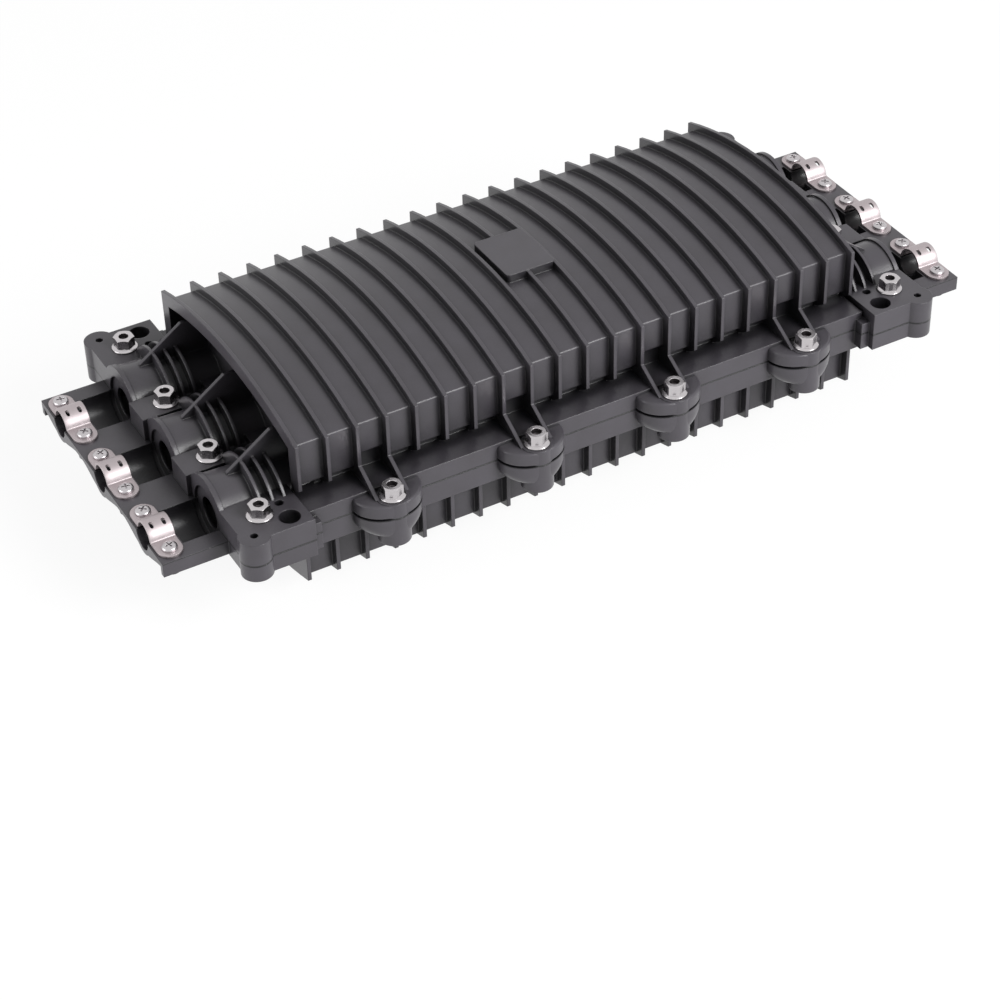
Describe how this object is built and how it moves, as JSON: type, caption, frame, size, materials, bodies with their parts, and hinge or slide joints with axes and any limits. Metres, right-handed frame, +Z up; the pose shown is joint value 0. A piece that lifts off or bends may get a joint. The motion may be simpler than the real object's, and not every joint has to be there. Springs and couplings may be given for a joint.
{
  "type": "fibre distribution box",
  "caption": "Long dark ribbed plastic fibre distribution box: arched lid bolted to a finned base, cable cradles with steel clamps at both ends, splice trays inside.",
  "frame": {"origin": "on the surface the box stands on, under the middle of the box", "axes": "+X along the box towards the right-hand cable ports, +Y across it to its far side, +Z up through the lid"},
  "size_m": [0.48, 0.2134, 0.1084],
  "materials": {
    "shell_plastic": "fine satin grain, moulded",
    "gasket_rubber": "smooth black",
    "bolt_steel": "bright stainless",
    "insert_brass": "turned",
    "clamp_steel": "bright folded sheet",
    "screw_steel": "bright",
    "plate_plastic": "satin grey",
    "post_plastic": "milky translucent",
    "foot_plastic": "black",
    "tray_plastic": "pale grey, moulded",
    "clear_cover": "clear plastic sheet"
  },
  "bodies": {
    "base": {"base_shell": "shell_plastic", "gasket_near": "gasket_rubber", "gasket_far": "gasket_rubber", "side_inserts": "insert_brass", "corner_inserts": "insert_brass", "end_inserts": "insert_brass", "cable_clamp_left_1": "clamp_steel", "cable_clamp_left_2": "clamp_steel", "cable_clamp_left_3": "clamp_steel", "cable_clamp_right_1": "clamp_steel", "cable_clamp_right_2": "clamp_steel", "cable_clamp_right_3": "clamp_steel", "clamp_screws_left": "screw_steel", "clamp_screws_right": "screw_steel", "plate_screws": "screw_steel", "tray_studs": "screw_steel", "tray_nuts": "screw_steel", "mounting_plate": "plate_plastic", "storage_post_1": "post_plastic", "storage_post_2": "post_plastic", "storage_post_3": "post_plastic", "storage_post_4": "post_plastic", "storage_post_5": "post_plastic", "storage_post_6": "post_plastic", "post_foot_1": "foot_plastic", "post_foot_2": "foot_plastic", "post_foot_3": "foot_plastic", "post_foot_4": "foot_plastic", "post_foot_5": "foot_plastic", "post_foot_6": "foot_plastic", "splice_tray_1": "tray_plastic", "splice_tray_2": "tray_plastic", "splice_tray_3": "tray_plastic", "splice_tray_4": "tray_plastic", "splice_tray_5": "tray_plastic", "splice_tray_6": "tray_plastic", "tray_cover": "clear_cover"},
    "lid": {"lid_shell": "shell_plastic", "side_bolts": "bolt_steel", "corner_bolts": "bolt_steel", "end_bolts": "bolt_steel"}
  },
  "joints": [
    {"name": "lid_lift", "type": "slide", "parent": "base", "child": "lid", "axis": [0, 0, 1], "range_m": [0, 0.09]}
  ]
}
